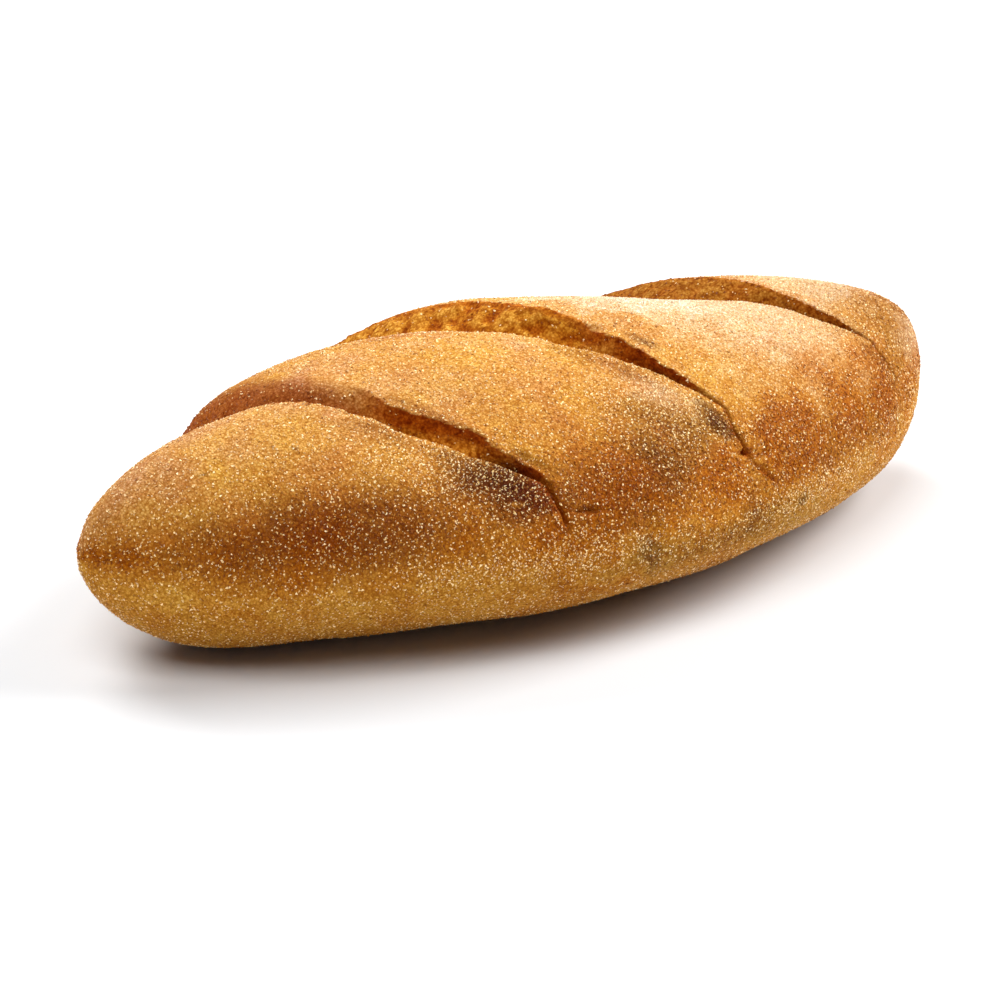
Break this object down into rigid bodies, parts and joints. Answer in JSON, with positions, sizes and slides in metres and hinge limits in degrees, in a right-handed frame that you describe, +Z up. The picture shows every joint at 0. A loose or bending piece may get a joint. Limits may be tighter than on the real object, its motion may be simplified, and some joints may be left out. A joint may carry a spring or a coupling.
{
  "type": "small bread loaf",
  "caption": "Small hand-shaped oval bread loaf with pointed round ends, slanting cuts across the top and a flat settled base.",
  "frame": {"origin": "on the surface the loaf rests on, under the middle of its bounding box", "axes": "+X along the loaf towards the end whose cut lies nearest its tip, -Y towards the flank on which the cuts run out in cracks, +Z up"},
  "size_m": [0.18, 0.0873, 0.0461],
  "materials": {
    "crust": "baked golden brown crust, dusted all over with coarse semolina"
  },
  "bodies": {
    "root": {"loaf": "crust"}
  },
  "joints": []
}
